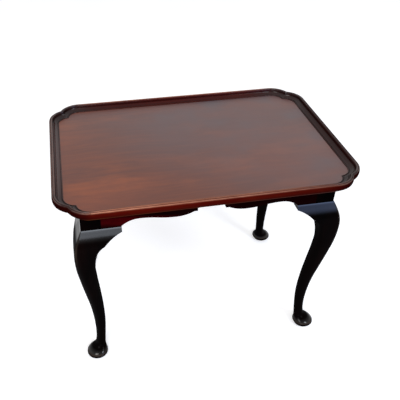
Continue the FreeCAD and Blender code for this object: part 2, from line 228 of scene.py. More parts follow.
def wood_figure_group():
    """Wood figure with its grain along X: broad bands, streaks, warm patches and pores."""
    group, entry, end = new_group("Wood figure", "ShaderNodeTree", (
        ("Space", "Vector"), ("Dark", "Color"), ("Middle", "Color"), ("Warm", "Color"),
        ("Pore depth", "Float"),
    ), (("Color", "Color"), ("Height", "Float")))
    space = entry["Space"]
    wander = add(group, "ShaderNodeTexNoise", {"Vector": space}, {"Scale": 5.0, "Detail": 1.0})
    # The grain wanders a little: sockets 4 and 5 are the two vectors that are mixed.
    bent = add(group, "ShaderNodeMix", {4: space, 5: wander.outputs["Color"]}, {0: 0.03},
               data_type="VECTOR").outputs[1]
    broad = stretched_noise(group, bent, scale=(2.2, 8.0, 8.0), detail=3.0, roughness=0.5,
                            low=0.32, high=0.68)
    streaks = stretched_noise(group, bent, scale=(6.0, 110.0, 110.0), detail=4.0, roughness=0.6,
                              low=0.35, high=0.72)
    patches = stretched_noise(group, bent, scale=(5.0, 13.0, 13.0), detail=4.0, roughness=0.6,
                              low=0.48, high=0.74)
    pores = stretched_noise(group, bent, scale=(70.0, 1500.0, 1500.0), detail=2.0, roughness=0.5,
                            low=0.60, high=0.72)
    colour = mix_colour(group, broad, entry["Dark"], entry["Middle"])
    for mask, strength in ((streaks, 0.22), (patches, 0.5)):
        colour = mix_colour(group, reckon(group, "MULTIPLY", mask, strength), colour, entry["Warm"])
    pored = reckon(group, "MULTIPLY", pores, entry["Pore depth"])
    filled = mix_colour(group, 1.0, colour, (0.20, 0.15, 0.15), "MULTIPLY")
    height = reckon(group, "SUBTRACT", reckon(group, "MULTIPLY", streaks, 0.25), pored)
    group.links.new(mix_colour(group, pored, colour, filled), end["Color"])
    group.links.new(height, end["Height"])
    return group


def handling_group():
    """Polish dulled by handling and dust, as a roughness and two masks of the dull patches."""
    group, entry, end = new_group("Handling", "ShaderNodeTree", (
        ("Space", "Vector"), ("Glossy", "Float"), ("Dull", "Float"),
    ), (("Roughness", "Float"), ("Dullness", "Float"), ("Cloudy", "Float")))
    cloudy = stretched_noise(group, entry["Space"], scale=(4.5, 5.5, 5.5), detail=3.0,
                             roughness=0.6, low=0.35, high=0.70)
    wiped = stretched_noise(group, entry["Space"], scale=(30.0, 160.0, 90.0), detail=2.0,
                            roughness=0.5, low=0.40, high=0.80)
    both = reckon(group, "MULTIPLY", reckon(group, "ADD", cloudy, wiped), 0.5)
    rough = add(group, "ShaderNodeMapRange",
                {"Value": both, "To Min": entry["Glossy"], "To Max": entry["Dull"]})
    group.links.new(rough.outputs[0], end["Roughness"])
    group.links.new(both, end["Dullness"])
    group.links.new(cloudy, end["Cloudy"])
    return group


def painted_light_veil_group():
    """Patchy veil of painted light, a painted sheen on the tray and painted shade on the aprons:
    none at the clear place along its way, and growing from start to end away from there."""
    group, entry, end = new_group("Veil", "ShaderNodeTree", (
        ("Color", "Color"), ("Place", "Vector"), ("Cloudy", "Float"), ("Way", "Vector"),
        ("Clear", "Float"), ("Start", "Float"), ("End", "Float"), ("Strength", "Float"),
        ("Veil", "Color"),
    ), (("Color", "Color"),))
    along = add(group, "ShaderNodeVectorMath", {0: entry["Place"], 1: entry["Way"]},
                operation="DOT_PRODUCT").outputs["Value"]
    far = reckon(group, "ABSOLUTE", reckon(group, "SUBTRACT", along, entry["Clear"]))
    thick = add(group, "ShaderNodeMapRange", {
        "Value": far, "From Min": entry["Start"], "From Max": entry["End"],
        "To Max": entry["Strength"]}).outputs[0]
    patchy = reckon(group, "MULTIPLY", thick, at_least(group, THINNEST_VEIL, entry["Cloudy"]))
    group.links.new(mix_colour(group, patchy, entry["Color"], entry["Veil"]), end["Color"])
    return group


def aged_look_and_light_group():
    """Aged look and painted light: crests rubbed to a worn colour, which on the rim is also a
    painted highlight, then painted light and shade, then dirt and painted shade in hollows.
    """
    group, entry, end = new_group("Wear and dirt", "ShaderNodeTree", (
        ("Color", "Color"), ("Rub", "Float"), ("Dullness", "Float"), ("Worn", "Color"),
        ("Wear", "Float"), ("Faded", "Float"), ("Unfaded", "Color"),
    ), (("Color", "Color"),))
    uneven = at_least(group, LEAST_CREST_LIGHTENING, entry["Dullness"])
    crest_lit_and_worn = reckon(group, "MULTIPLY", reckon(group, "MAXIMUM", entry["Rub"], 0.0), uneven)
    crest_lit_and_worn = reckon(group, "MULTIPLY", crest_lit_and_worn, entry["Wear"])
    dirty_shaded_hollow = reckon(group, "MULTIPLY", entry["Rub"], -DIRT_AND_SHADE_STRENGTH)
    colour = mix_colour(group, crest_lit_and_worn, entry["Color"], entry["Worn"])
    shaded_tone = mix_colour(group, 1.0, colour, entry["Unfaded"], "MULTIPLY")
    colour = mix_colour(group, entry["Faded"], shaded_tone, colour)
    colour = mix_colour(group, reckon(group, "MAXIMUM", dirty_shaded_hollow, 0.0), colour, DIRT_AND_SHADE)
    group.links.new(colour, end["Color"])
    return group


wood_figure = wood_figure_group()
handling = handling_group()
painted_light_veiled = painted_light_veil_group()
aged_and_lit = aged_look_and_light_group()


def wood_material(name, turn, dark, middle, warm, gloss, specular, coat, pore_depth,
                  worn_and_highlight=(0.2, 0.08, 0.05), crest_lightening=0.5, painted_light=None, shaded_tone=(1.0, 1.0, 1.0)):
    """Polished wood whose grain runs along X after the turn, aged and given painted light and shade
    by what its points hold and by its veil.
    """
    material = bpy.data.materials.new(name)
    material.use_nodes = True
    tree = material.node_tree
    surface = tree.nodes["Principled BSDF"]
    place = add(tree, "ShaderNodeTexCoord").outputs["Object"]
    board, rub, faded, polish = (
        add(tree, "ShaderNodeAttribute", attribute_name=label).outputs["Fac"]
        for label in ("board", "rub", "faded", "polish"))
    shift = add(tree, "ShaderNodeCombineXYZ", {0: board, 1: board, 2: board}).outputs[0]
    space = add(tree, "ShaderNodeVectorMath", {0: place, 1: shift}, operation="ADD").outputs[0]
    along = add(tree, "ShaderNodeMapping", {"Vector": space}, {"Rotation": turn}).outputs[0]
    figure = place_group(tree, wood_figure, {
        "Space": along, "Dark": dark, "Middle": middle, "Warm": warm, "Pore depth": pore_depth})
    used = place_group(tree, handling, {"Space": space, "Glossy": gloss[0], "Dull": gloss[1]})
    colour = figure["Color"]
    if painted_light:
        colour = place_group(tree, painted_light_veiled, {
            "Color": colour, "Place": place, "Cloudy": used["Cloudy"], **painted_light})["Color"]
    colour = place_group(tree, aged_and_lit, {
        "Color": colour, "Rub": rub, "Dullness": used["Dullness"], "Worn": worn_and_highlight, "Wear": crest_lightening,
        "Faded": faded, "Unfaded": shaded_tone})["Color"]
    relief = add(tree, "ShaderNodeBump", {"Height": figure["Height"]},
                 {"Strength": 0.5, "Distance": GRAIN_RELIEF})
    tree.links.new(colour, surface.inputs["Base Color"])
    tree.links.new(used["Roughness"], surface.inputs["Roughness"])
    tree.links.new(relief.outputs[0], surface.inputs["Normal"])
    tree.links.new(reckon(tree, "MULTIPLY", polish, coat), surface.inputs["Coat Weight"])
    surface.inputs["Coat Roughness"].default_value = sum(gloss) / 2
    surface.inputs["IOR"].default_value = 1.5
    surface.inputs["Specular IOR Level"].default_value = specular
    return material


tray_mesh = ring_mesh("tray_board", [
    tray_ring(board_edge, board_high[2]),
    tray_ring(board_edge, board_high[2] - BOARD_ARRIS),
    tray_ring(board_edge, board_high[2] - BOARD_EDGE_HEIGHT),
    tray_ring(board_edge + BEVEL_REACH, board_low[2] + BEVEL_ARRIS),
    tray_ring(board_edge + BEVEL_END, board_low[2]),
])
field_z = board_high[2] - TOUCHING
under_z = board_low[2] + BEVEL_ARRIS + TOUCHING
heights = [vertex.co.z for vertex in tray_mesh.vertices]
# Painted shade: rub values of -1 on the board's edge and -0.5 on its underside darken them as shade
# under the rim and the tray.
for label, field, edge, under in (("polish", 1.0, 0.0, 0.0), ("rub", 0.0, -1.0, -0.5)):
    mark(tray_mesh, label, [
        field if z > field_z else under if z < under_z else edge for z in heights])
mark(tray_mesh, "board", [TRAY_GRAIN] * len(heights))
# The field's veil is a painted sheen: a bluish-grey painted reflection that grows towards the back
# and right.
field_wood = wood_material(
    "field_wood", ALONG_X, dark=(0.100, 0.024, 0.013), middle=(0.160, 0.036, 0.014),
    warm=(0.30, 0.066, 0.012), gloss=(0.26, 0.42), specular=0.0, coat=1.0, pore_depth=0.2,
    painted_light={"Way": (1.0, 1.0, 0.0), "Clear": -0.5, "Start": 0.24, "End": 0.68, "Strength": 1.15,
          "Veil": (0.094, 0.062, 0.067)})
fit_piece("tray_top_board", tray_mesh, field_wood, "tray_wood", "tray_board")


# Rim: four straight lengths and four corners of one mahogany moulding, glued round the
# board's edge. From outside: a full face, a roll, a quirk, a bead, a step down and a cove
# that ends in a small bead on the field. Dark, with painted light: the front is lit, most at
# its left, the back less, and the ends, the corners and the face's foot are in painted shade.
# Its crests are rubbed lighter, which is wear and a painted highlight, most on the front; its
# hollows are darkened by dirt and painted shade.
ALONG_Y = (0.0, 0.0, math.pi / 2)
LONG_SIDES = ("front", "back")
RIM_SIDES = (("left", 0, -1, 0), ("front", 90, 0, -1), ("right", 180, 1, 0), ("back", 270, 0, 1))
LENGTH_STEPS = 40
CORNER_STEPS = 48
FACE_STEPS = 8
ROLL_STEPS = 8
BEAD_STEPS = 10
COVE_STEPS = 12
SMALL_BEAD_STEPS = 6
# Places on the section, in from the rim's face and down from its top.
LIP_FOOT = (0.0012, 0.016)
LIP_THICKNESS = 0.003
FACE_BELLY = (0.0, 0.0091)
FACE_TOP = (0.0012, 0.0022)
ROLL_CREST = (0.0029, 0.001)
BEAD_START = (0.0046, 0.0022)
BEAD_END = (0.0094, 0.0022)
BEAD_CREST = ((BEAD_START[0] + BEAD_END[0]) / 2, 0.0)
STEP_FOOT = (0.0102, 0.007)
COVE_START = (0.0120, 0.007)
COVE_LIP = (0.0129, 0.0078)
COVE_END = (0.0226, 0.013)
COVE_SAG = 0.0019
SMALL_BEAD_CREST = (0.0238, 0.012)
SMALL_BEAD_END = (0.025, 0.013)
FIELD_EDGE = (0.025, 0.014)
# Hollows darkened by dirt and painted shade, with their reach, and crests lightened by wear and a
# painted highlight, with how much and its reach.
DIRTY_SHADED_HOLLOWS = ((BEAD_START, 0.0007), (STEP_FOOT, 0.0012), (COVE_LIP, 0.0007), (COVE_END, 0.0011),
           (FIELD_EDGE, 0.0011))
WORN_LIT_CRESTS = ((BEAD_CREST, 0.75, 0.0022), (ROLL_CREST, 1.0, 0.0026), (SMALL_BEAD_CREST, 0.80, 0.0022))
FACE_INSET = 0.002
FACE_SHADE_DROP = 0.006
POLISHED_INSET = 0.0025
POLISHED_DROP = 0.0135
FIELD_SIDE_INSET = 0.02
CORNER_REACH = 0.07
SIDE_BLEND = 0.012
FRONT_LIT = 0.75
FRONT_LIT_FALL = 0.9
BACK_COVE_INSETS = (0.013, 0.023)
BACK_COVE_DARKENING = 0.6
LENGTH_GRAIN = 1.7
CORNER_GRAIN = 1.3
FIRST_CORNER_GRAIN = 9.3
rim_top = rim_high[2]


def arc_points(start, middle, end, steps):
    """Points of the arc through three points of a section."""
    (ax, ay), (bx, by), (cx, cy) = start, middle, end
    twice = 2 * (ax * (by - cy) + bx * (cy - ay) + cx * (ay - by))
    a, b, c = ax * ax + ay * ay, bx * bx + by * by, cx * cx + cy * cy
    ox = (a * (by - cy) + b * (cy - ay) + c * (ay - by)) / twice
    oy = (a * (cx - bx) + b * (ax - cx) + c * (bx - ax)) / twice
    radius = math.hypot(ax - ox, ay - oy)
    first = math.atan2(ay - oy, ax - ox)
    swing = math.remainder(math.atan2(cy - oy, cx - ox) - first, 2 * math.pi)
    points = []
    for step in range(steps + 1):
        turn = first + swing * step / steps
        points.append((ox + radius * math.cos(turn), oy + radius * math.sin(turn)))
    return points


def cove_points(start, end, sag, steps):
    """Points of a cove, which is hollowed by its sag below the line from start to end."""
    run, drop = end[0] - start[0], end[1] - start[1]
    length = math.hypot(run, drop)
    middle = ((start[0] + end[0]) / 2 - sag * drop / length,
              (start[1] + end[1]) / 2 + sag * run / length)
    return arc_points(start, middle, end, steps)


section = arc_points(LIP_FOOT, FACE_BELLY, FACE_TOP, FACE_STEPS)
section += arc_points(FACE_TOP, ROLL_CREST, BEAD_START, ROLL_STEPS)[1:]
section += arc_points(BEAD_START, BEAD_CREST, BEAD_END, BEAD_STEPS)[1:]
section += [STEP_FOOT, COVE_START]
section += cove_points(COVE_START, COVE_END, COVE_SAG, COVE_STEPS)[1:]
section += arc_points(COVE_END, SMALL_BEAD_CREST, SMALL_BEAD_END, SMALL_BEAD_STEPS)[1:]
section += [FIELD_EDGE, (LIP_THICKNESS, FIELD_EDGE[1]), (LIP_THICKNESS, LIP_FOOT[1]), section[0]]


def nearness(distance, reach):
    """1 at a place, and less with the distance from it down to 0 at its reach."""
    return max(0.0, 1.0 - abs(distance) / reach)


def crest_rub_and_light(inset, drop):
    """1 on a crest that hands and cloths reach, lightened by wear and a painted highlight; -1 in a
    hollow, darkened by dirt and painted shade; and growing darker down the face's foot, which is
    painted shade.
    """
    if any(math.dist(place, (inset, drop)) < reach for place, reach in DIRTY_SHADED_HOLLOWS):
        return -1.0
    if inset < FACE_INSET and drop > FACE_SHADE_DROP:
        return -(drop - FACE_SHADE_DROP) / (LIP_FOOT[1] - FACE_SHADE_DROP)
    return max(crest_lightening * nearness(math.dist(place, (inset, drop)), reach)
               for place, crest_lightening, reach in WORN_LIT_CRESTS)


def top_polish(inset, drop):
    """The top of the moulding and its cove keep their polish; the outer face has lost it."""
    return 1.0 if inset > POLISHED_INSET and drop < POLISHED_DROP else 0.0


def moulding_tree():
    """Runs a section of points along a straight length, or round a corner's two shoulders."""
    tree, entry, end = new_group("Run a moulding", "GeometryNodeTree", (
        ("Section", "Geometry"), ("Round a corner", "Bool"), ("Half length", "Float"),
        ("Corner start", "Float"), ("Shoulder radius", "Float"), ("Steps", "Int"),
        ("Wood", "Material"),
    ), (("Geometry", "Geometry"),))

    def value(operation, first, second=0.0):
        return reckon(tree, operation, first, second)

    count = add(tree, "GeometryNodeAttributeDomainSize", {0: entry["Section"]}).outputs[0]
    stations = value("ADD", entry["Steps"], 1.0)
    grid = add(tree, "GeometryNodeMeshGrid", {"Vertices X": stations, "Vertices Y": count})
    index = tree.nodes.new("GeometryNodeInputIndex").outputs[0]
    station = value("FLOOR", value("DIVIDE", value("ADD", index, 0.5), count))
    place = value("SUBTRACT", index, value("MULTIPLY", station, count))
    share = value("SUBTRACT", value("DIVIDE", value("MULTIPLY", station, 2.0), entry["Steps"]), 1.0)
    position = tree.nodes.new("GeometryNodeInputPosition").outputs[0]
    sampled = add(tree, "GeometryNodeSampleIndex", {0: entry["Section"], 1: position, 2: place},
                  data_type="FLOAT_VECTOR").outputs[0]
    across = add(tree, "ShaderNodeSeparateXYZ", {0: sampled}).outputs
    inset, z = across[0], across[2]
    radius = value("SUBTRACT", entry["Shoulder radius"], inset)
    lead = value("DIVIDE", value("SUBTRACT", entry["Corner start"], entry["Shoulder radius"]),
                 value("MULTIPLY", radius, math.sqrt(2)))
    mitre_turn = value("ADD", value("ARCSINE", lead), math.pi / 4)
    turn = value("MULTIPLY", mitre_turn, value("SUBTRACT", 1.0, value("ABSOLUTE", share)))
    near = value("SUBTRACT", entry["Shoulder radius"],
                 value("MULTIPLY", radius, value("COSINE", turn)))
    far = value("SUBTRACT", entry["Corner start"],
                value("MULTIPLY", radius, value("SINE", turn)))
    first_arm = add(tree, "ShaderNodeCombineXYZ", {0: near, 1: far, 2: z}).outputs[0]
    second_arm = add(tree, "ShaderNodeCombineXYZ", {0: far, 1: near, 2: z}).outputs[0]
    past_mitre = value("GREATER_THAN", share, 0.0)
    corner = add(tree, "GeometryNodeSwitch", {0: past_mitre, 1: first_arm, 2: second_arm},
                 input_type="VECTOR").outputs[0]
    along = value("MULTIPLY", share, entry["Half length"])
    straight = add(tree, "ShaderNodeCombineXYZ", {0: inset, 1: along, 2: z}).outputs[0]
    chosen = add(tree, "GeometryNodeSwitch", {0: entry["Round a corner"], 1: straight, 2: corner},
                 input_type="VECTOR").outputs[0]
    held = grid.outputs[0]
    for label in ("rub", "polish"):
        drawn = add(tree, "GeometryNodeInputNamedAttribute", values={"Name": label},
                    data_type="FLOAT").outputs[0]
        drawn = add(tree, "GeometryNodeSampleIndex", {0: entry["Section"], 1: drawn, 2: place})
        held = add(tree, "GeometryNodeStoreNamedAttribute",
                   {"Geometry": held, "Value": drawn.outputs[0]}, {"Name": label}).outputs[0]
    moved = add(tree, "GeometryNodeSetPosition", {0: held, 2: chosen}).outputs[0]
    welded = add(tree, "GeometryNodeMergeByDistance", {0: moved}, {"Distance": TOUCHING}).outputs[0]
    made = add(tree, "GeometryNodeSetMaterial", {0: welded, 2: entry["Wood"]}).outputs[0]
    tree.links.new(made, end["Geometry"])
    return tree


run_moulding = moulding_tree()


def plain_mesh(carrier):
    """Plain mesh of an object as its modifiers leave it."""
    graph = bpy.context.evaluated_depsgraph_get()
    return bpy.data.meshes.new_from_object(carrier.evaluated_get(graph), depsgraph=graph)


def grown_mesh(name, base, tree, inputs):
    """Plain mesh that a tree of Geometry Nodes makes of a base mesh."""
    carrier = new_object(name, base)
    modifier = carrier.modifiers.new("grown", "NODES")
    modifier.node_group = tree
    for item in tree.interface.items_tree:
        if item.in_out == "INPUT" and item.name in inputs:
            modifier[item.identifier] = inputs[item.name]
    grown = plain_mesh(carrier)
    bpy.data.objects.remove(carrier)
    return grown


def moulding(name, grain, wood, steps, half_length=0.0, round_a_corner=False):
    """Closed mesh of a straight length of the moulding, or of one of its corners."""
    base = bpy.data.meshes.new(name + "_section")
    base.from_pydata([(inset, 0.0, rim_top - drop) for inset, drop in section], [], [])
    mark(base, "rub", [crest_rub_and_light(*point) for point in section])
    mark(base, "polish", [top_polish(*point) for point in section])
    run = grown_mesh(name + "_section", base, run_moulding, {
        "Round a corner": round_a_corner, "Half length": half_length, "Corner start": CORNER_START,
        "Shoulder radius": SHOULDER_RADIUS, "Steps": steps, "Wood": wood})
    shape = bmesh.new()
    shape.from_mesh(run)
    bmesh.ops.holes_fill(shape, edges=[edge for edge in shape.edges if edge.is_boundary])
    bmesh.ops.recalc_face_normals(shape, faces=shape.faces)
    shape.to_mesh(run)
    shape.free()
    mark(run, "board", [grain] * len(run.vertices))
    return run


def by_side(x, y, left, front, right, back, corner):
    """Value at a place on the rim: that of its side or of the corners, blended between them."""
    to_corner = math.dist((abs(x), abs(y)), (tray_half_length, tray_half_width))
    gaps = (tray_half_length + x, tray_half_width + y, tray_half_length - x, tray_half_width - y,
            (to_corner - CORNER_REACH) / 2)
    shares = [(SIDE_BLEND + max(gap, 0.0)) ** -3 for gap in gaps]
    values = (left, front, right, back, corner)
    return sum(share * value for share, value in zip(shares, values)) / sum(shares)


def age_and_light_rim(mesh):
    """Painted light and shade, with wear and dirt: lit most along the front, most at its left end,
    less along the back, and in painted shade at the ends and corners; crests lightened by wear
    and a painted highlight, most on the front; hollows darkened by dirt and painted shade, most
    at the back and right; polish best kept on the left end.
    """
    mesh.attributes.new("faded", "FLOAT", "POINT")
    faded, polish, rub = (mesh.attributes[label].data for label in ("faded", "polish", "rub"))
    cove_fall = COVE_END[1] - COVE_START[1]
    for number, vertex in enumerate(mesh.vertices):
        x, y, z = vertex.co
        # Painted light along the front: lit most at the left end, falling off towards the right.
        front = FRONT_LIT - FRONT_LIT_FALL * x
        by_field = min(tray_half_length - abs(x), tray_half_width - abs(y)) > FIELD_SIDE_INSET
        faded[number].value = by_side(x, y, left=0.20, front=front, right=0.05, back=0.6,
                                      corner=0.0)
        polish[number].value *= by_side(x, y, left=1.0, front=0.16, right=0.45, back=0.3,
                                        corner=0.7)
        # Hollows darkened by dirt and painted shade, more at the back and right; crests lightened
        # by wear and a painted highlight, most on the front.
        if rub[number].value < 0.0:
            hollow_darkening = by_side(x, y, left=0.3, front=0.0 if by_field else 0.7,
                           right=0.8 if by_field else 0.5, back=1.0, corner=0.5)
            rub[number].value *= hollow_darkening
            polish[number].value *= 1.0 - hollow_darkening
        elif by_field:
            rub[number].value *= by_side(x, y, left=0.2, front=1.2, right=0.1, back=0.1, corner=0.3)
        else:
            rub[number].value *= by_side(x, y, left=0.5, front=1.1 * front, right=0.12, back=1.1,
                                         corner=0.8)
        # The back's cove is made darker towards its foot.
        on_straight = abs(x) < tray_half_length - CORNER_START
        if on_straight and BACK_COVE_INSETS[0] < tray_half_width - y < BACK_COVE_INSETS[1]:
            rub[number].value = -BACK_COVE_DARKENING * (rim_top - z - COVE_START[1]) / cove_fall


def turned_to(x, y, turn):
    """Place on the plan for a piece drawn at the front left, with its turn in degrees."""
    return Matrix.Translation((x, y, 0)) @ Matrix.Rotation(math.radians(turn), 4, "Z")


# The rim's worn colour is also a painted highlight on its crests, and its shaded tone darkens the
# rim as painted shade where it is not painted as lit.
rim_look = {"dark": (0.040, 0.0012, 0.0007), "middle": (0.072, 0.0032, 0.0014),
            "warm": (0.14, 0.012, 0.004), "gloss": (0.18, 0.32), "specular": 0.0, "coat": 0.92,
            "pore_depth": 0.4, "worn_and_highlight": (0.95, 0.42, 0.25), "crest_lightening": 1.0,
            "shaded_tone": (0.20, 0.30, 0.45)}
rim_wood_x = wood_material("rim_wood_x", ALONG_X, **rim_look)
rim_wood_y = wood_material("rim_wood_y", ALONG_Y, **rim_look)
for number, (side, turn, side_x, side_y) in enumerate(RIM_SIDES):
    is_long = side in LONG_SIDES
    half_length = (tray_half_length if is_long else tray_half_width) - CORNER_START
    wood = rim_wood_x if is_long else rim_wood_y
    grain = LENGTH_GRAIN * number
    length = moulding("rim_" + side, grain, wood, LENGTH_STEPS, half_length=half_length)
    length.transform(turned_to(side_x * tray_half_length, side_y * tray_half_width, turn))
    age_and_light_rim(length)
    fit_piece("rim_length_" + side, length, wood, "rim_wood", "rim_" + side)
for number, (corner, turn, side_x, side_y) in enumerate(CORNERS):
    grain = FIRST_CORNER_GRAIN + CORNER_GRAIN * number
    carved = moulding("rim_corner_" + corner, grain, rim_wood_x, CORNER_STEPS, round_a_corner=True)
    carved.transform(turned_to(side_x * tray_half_length, side_y * tray_half_width, turn))
    age_and_light_rim(carved)
    fit_piece("rim_shoulders_" + corner, carved, rim_wood_x, "rim_wood", "rim_corner_" + corner)


# Aprons: four shaped boards, tenoned into the posts, with arches beside the legs, drops
# and a stepped notch in the front. Dark mahogany whose polish has gone dull, darkened
# nearly to black by painted shade under the rim, at the bottom and towards the right end,
# but for a slanting band where the red shows.
SIDES = (*LONG_SIDES, "left", "right")
EASED_EDGE = 0.0009
EASED_TURN = math.radians(40)
# The aprons' veil is painted shade: it darkens them nearly to black above and below a slanting band
# and towards the right end.
frame_look = {"dark": (0.010, 0.0005, 0.0005), "middle": (0.050, 0.0007, 0.0020),
              "warm": (0.090, 0.002, 0.004), "gloss": (0.20, 0.34), "specular": 0.0, "coat": 0.0,
              "pore_depth": 0.4,
              "painted_light": {"Way": (0.6, 0.0, 4.0), "Clear": 1.71, "Start": 0.02, "End": 0.09,
                       "Strength": 1.7, "Veil": (0.004, 0.0003, 0.0005)}}
frame_wood_x = wood_material("frame_wood_x", ALONG_X, **frame_look)
frame_wood_y = wood_material("frame_wood_y", ALONG_Y, **frame_look)


def dress_node(node, material, eased):
    """Give a CAD node its wood and ease its edges."""
    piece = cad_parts[node]
    for slot in piece.material_slots:
        slot.material = material
    weld = piece.modifiers.new("welded", "WELD")
    weld.merge_threshold = TOUCHING
    ease = piece.modifiers.new("eased", "BEVEL")
    ease.width = eased
    ease.segments = 2
    ease.limit_method = "ANGLE"
    ease.angle_limit = EASED_TURN


for side in SIDES:
    dress_node("apron_" + side, frame_wood_x if side in LONG_SIDES else frame_wood_y, EASED_EDGE)


# Cabriole legs: each is one piece of mahogany with its square post, a bold knee, a slim
# ankle and a turned pad foot. Black with age and polished, most at the top of the knee and
# round the foot's edge, and rubbed a little on the knee's arris and the foot's lower edge.
ALONG_Z = (0.0, math.pi / 2, 0.0)
LEDGE_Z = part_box("apron_front")[0][2]
BOARD_BOTTOM_Z = board_low[2]
POST = 0.045
POST_ROUNDING = 0.03
# The posts' outer corners, from the middle of the table.
POST_X = 0.3005
POST_Y = 0.191
ANKLE_ROUNDING = 0.96
PAD_RADIUS = 0.022
PAD_TOP_EASING = 0.0007
PAD_SOLE_EASING = 0.0008
PAD_EASING_HEIGHT = 0.0006
MORTISE_DEPTH = 0.025
MORTISE_MOUTH = 0.010
MORTISE_FACES = (0.006, 0.014)
MORTISE_FOOT = 0.008
MORTISE_HEAD = 0.012
LEG_RINGS = 150
QUARTER_STEPS = 11
LEG_GRAIN = 3.1
# Wear of the legs and what is left of their polish: how much, where, and how far it reaches.
KNEE_RUB = 0.15
KNEE_MIDDLE_DROP = 0.05
ARRIS_REACH = 0.006
FOOT_RUB = 0.18
FOOT_RUB_Z = 0.0145
FOOT_RUB_REACH = 0.0020
DULLED = 0.02
DULL_BY_POST = 0.0005
LEDGE_REACH = 0.005
KNEE_SHEEN = 0.34
KNEE_SHEEN_DROP = 0.014
HALFWAY_Z = 0.2
FOOT_SHEEN = 0.05
FOOT_SHEEN_Z = 0.018
FOOT_SHEEN_REACH = 0.012
FOOT_EDGE_SHEEN = 0.55
FOOT_EDGE_Z = 0.0185
FOOT_EDGE_REACH = 0.0035
END_SHEEN = 2.4
# Each row: its place, how far the leg stands out past the post's outer faces and reaches in
# from them, and the share of its half width that rounds its outer and its other corners.
# The place is a drop from the ledge, then a share of the way to the ankle, then a height.
KNEE_ROWS = (
    (0.0, 0.0015, 0.0570, 0.05, 0.05), (0.0165, 0.0102, 0.0560, 0.14, 0.05),
    (0.0380, 0.0188, 0.0500, 0.27, 0.05), (0.0475, 0.0211, 0.0395, 0.36, 0.15),
    (0.0575, 0.0225, 0.0330, 0.45, 0.30), (0.0725, 0.0234, 0.0283, 0.57, 0.45),
    (0.1095, 0.0224, 0.0236, 0.75, 0.70),
)
SHANK_ROWS = ((0.20, 0.0170, 0.0254, 0.82, 0.80), (0.45, 0.0087, 0.0299, 0.90, 0.88),
              (0.72, -0.0006, 0.0335, 0.94, 0.94))
ANKLE_ROWS = (
    (0.110, -0.0059, 0.0342), (0.070, -0.0064, 0.0318), (0.042, -0.0040, 0.0296),
    (0.031, -0.0008, 0.0288), (0.025, 0.0060, 0.0292), (0.020, 0.0148, 0.0302),
    (0.015, 0.0210, 0.0316), (0.009, 0.0234, 0.0322), (0.003, 0.0200, 0.0288),
)


def leg_pattern():
    """Rows of the leg from the ledge down, each with its height above the floor."""
    knee_end = LEDGE_Z - KNEE_ROWS[-1][0]
    ankle_start = ANKLE_ROWS[0][0]
    rows = [(LEDGE_Z - drop, *row) for drop, *row in KNEE_ROWS]
    rows += [(knee_end + share * (ankle_start - knee_end), *row) for share, *row in SHANK_ROWS]
    return rows + [(*row, ANKLE_ROUNDING, ANKLE_ROUNDING) for row in ANKLE_ROWS]


def smooth_row(rows, z):
    """Offsets and roundings of the leg at a height, on a smooth curve through the rows."""
    last = len(rows) - 1
    upper = max(number for number in range(last) if rows[number][0] >= z - 1e-9)
    span = rows[upper][0] - rows[upper + 1][0]
    share = (rows[upper][0] - z) / span

    def slope(number, column):
        low, high = max(number - 1, 0), min(number + 1, last)
        sides = []
        for one, other in ((low, number), (number, high)):
            if one != other:
                step = rows[one][0] - rows[other][0]
                sides.append((step, (rows[other][column] - rows[one][column]) / step))
        if len(sides) == 1:
            return sides[0][1]
        (before, rate_before), (after, rate_after) = sides
        return (after * rate_before + before * rate_after) / (before + after)

    mixed = []
    for column in (1, 2):
        start, end = rows[upper][column], rows[upper + 1][column]
        first, second = slope(upper, column) * span, slope(upper + 1, column) * span
        mixed.append((2 * share ** 3 - 3 * share ** 2 + 1) * start
                     + (share ** 3 - 2 * share ** 2 + share) * first
                     + (3 * share ** 2 - 2 * share ** 3) * end
                     + (share ** 3 - share ** 2) * second)
    for column in (3, 4):
        mixed.append(rows[upper][column] + share * (rows[upper + 1][column] - rows[upper][column]))
    return mixed


def leg_ring(z, outer, inner, big, small):
    """Rounded square ring of the leg, kept inside the post's two inner faces."""
    half_width = (outer + inner) / 2
    ring = []
    corners = ((-outer, -outer, big), (inner, -outer, small), (inner, inner, small),
               (-outer, inner, small))
    for number, (x, y, rounding) in enumerate(corners):
        radius = half_width * rounding
        centre_x = x + radius if number in (0, 3) else x - radius
        centre_y = y + radius if number in (0, 1) else y - radius
        for step in range(QUARTER_STEPS + 1):
            turn = math.radians(180 + 90 * (number + step / QUARTER_STEPS))
            ring.append((min(centre_x + radius * math.cos(turn), POST),
                         min(centre_y + radius * math.sin(turn), POST), z))
    return ring


def leg_rings():
    """All rings of a front left leg, from the top of the post to the underside of the pad."""
    rows = leg_pattern()
    rings = [leg_ring(z, 0.0, POST, POST_ROUNDING, POST_ROUNDING)
             for z in (BOARD_BOTTOM_Z, LEDGE_Z)]
    foot_z, foot_outer, foot_inner = rows[-1][:3]
    for number in range(LEG_RINGS + 1):
        z = LEDGE_Z + (foot_z - LEDGE_Z) * number / LEG_RINGS
        rings.append(leg_ring(z, *smooth_row(rows, z)))
    middle = (foot_inner - foot_outer) / 2
    quarter = QUARTER_STEPS + 1
    for z, radius in (
            (foot_z, PAD_RADIUS - PAD_TOP_EASING), (foot_z - PAD_EASING_HEIGHT, PAD_RADIUS),
            (PAD_EASING_HEIGHT, PAD_RADIUS), (0.0, PAD_RADIUS - PAD_SOLE_EASING)):
        ring = []
        for number in range(4 * quarter):
            corner, step = divmod(number, quarter)
            turn = math.radians(180 + 90 * (corner + (step + 0.5) / quarter))
            ring.append((middle + radius * math.cos(turn), middle + radius * math.sin(turn), z))
        rings.append(ring)
    return rings


